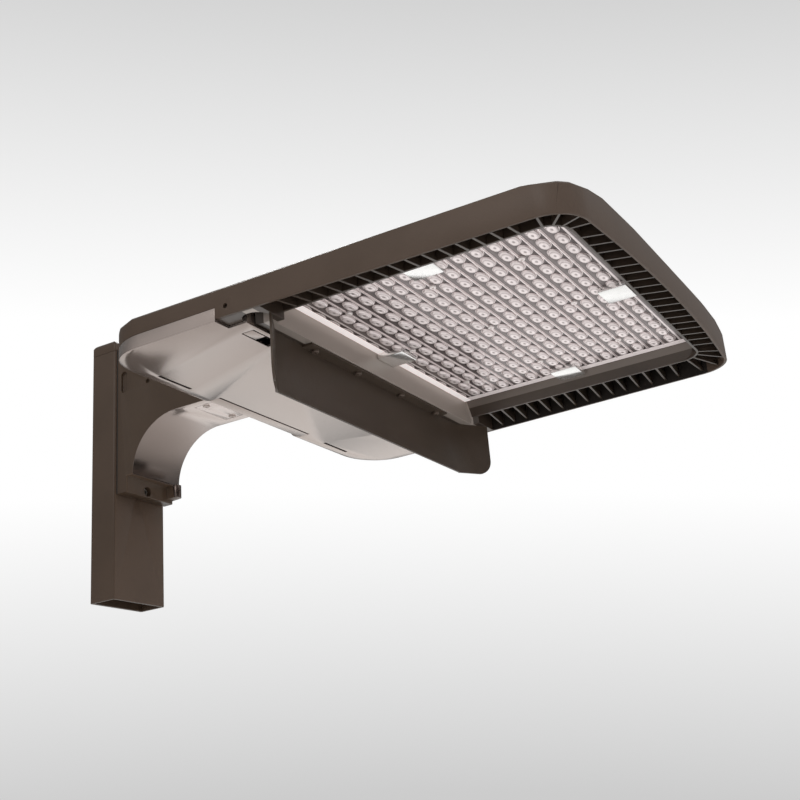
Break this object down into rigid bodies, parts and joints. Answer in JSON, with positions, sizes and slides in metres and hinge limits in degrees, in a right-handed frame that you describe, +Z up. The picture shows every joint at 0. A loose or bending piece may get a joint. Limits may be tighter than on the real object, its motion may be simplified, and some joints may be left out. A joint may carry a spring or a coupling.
{
  "type": "shoebox area light",
  "caption": "Flat rectangular LED area light head on a straight arm with a hollowed underside, bolted to a short rectangular pole section; drop-down driver door and house-side shield.",
  "frame": {"origin": "centre of the pole section's lower end, at the open mouth of the tube", "axes": "+X along the arm from the pole to the front of the head; +Z up the pole; +Y to the far side of the head, which is even about the XZ plane on the outside"},
  "size_m": [0.643, 0.44, 0.2845],
  "materials": {
    "bronze_dark": "dark bronze polyester powder coat, satin",
    "bronze_arm": "dark bronze polyester powder coat, satin",
    "bronze_side": "dark bronze polyester powder coat, satin",
    "bronze_under": "dark bronze powder coat on the underside, glossier, mirrors the pale floor",
    "bronze_vent": "dark bronze powder coat, deep in the vents",
    "bronze_shield": "dark bronze powder coat on sheet",
    "seal_black": "black moulded seal",
    "screw_steel": "plain stainless fastener",
    "screw_bronze": "bronze-painted fastener",
    "screw_bright": "bright stainless fastener",
    "zinc_steel": "zinc-plated sheet",
    "driver_case": "off-white enamel case",
    "dark_plastic": "dark potted plastic case",
    "cream_plastic": "cream moulded plastic",
    "brass_screw": "brass terminal screw",
    "green_screw": "green earth screw",
    "lead_white": "white wire insulation",
    "lead_red": "red wire insulation",
    "raw_aluminium": "plain die-cast aluminium",
    "board_white": "white solder mask",
    "phosphor": "yellow phosphor on the chips",
    "optic_clear": "clear acrylic lens plate, glossy",
    "clip_white": "bright clip, glossy"
  },
  "bodies": {
    "body": {"pole_section": "bronze_dark", "pole_cap": "bronze_dark", "arm_gasket": "seal_black", "arm": "bronze_arm", "arm_bolts": "screw_steel", "bolt_washers": "screw_steel", "backing_plate": "zinc_steel", "access_cover": "bronze_under", "access_screws": "screw_bronze", "neck_gasket": "seal_black", "neck_screws": "screw_steel", "housing": "bronze_side", "neck_cover": "bronze_under", "cover_screws": "screw_bronze", "hinge_pins": "screw_steel", "gear_plate": "zinc_steel", "gear_screws": "screw_steel", "led_driver": "driver_case", "driver_screws": "screw_steel", "surge_protector": "dark_plastic", "terminal_block": "cream_plastic", "terminal_screws": "brass_screw", "ground_screw": "green_screw", "supply_leads": "lead_white", "wire_grommet": "seal_black", "led_leads": "lead_red", "board_connector": "cream_plastic", "vent_frame": "bronze_vent", "heat_sink": "raw_aluminium", "led_board_left": "board_white", "led_board_right": "board_white", "led_chips": "phosphor", "optic_gasket": "seal_black", "optic_plate": "optic_clear", "optic_clips": "clip_white", "optic_screws": "screw_bright", "house_shield": "bronze_shield", "shield_screws": "screw_bronze"},
    "door": {"driver_door": "bronze_under", "door_gasket": "seal_black"},
    "latch_l": {"latch_left": "bronze_under"},
    "latch_r": {"latch_right": "bronze_under"}
  },
  "joints": [
    {"name": "door_hinge", "type": "hinge", "parent": "body", "child": "door", "pos_m": [0.16, 0, 0.17425], "axis": [0, 1, 0], "range_deg": [0, 80]},
    {"name": "latch_left_slide", "type": "slide", "parent": "door", "child": "latch_l", "axis": [0, 1, 0], "range_m": [0, 0.016]},
    {"name": "latch_right_slide", "type": "slide", "parent": "door", "child": "latch_r", "axis": [0, -1, 0], "range_m": [0, 0.016]}
  ]
}
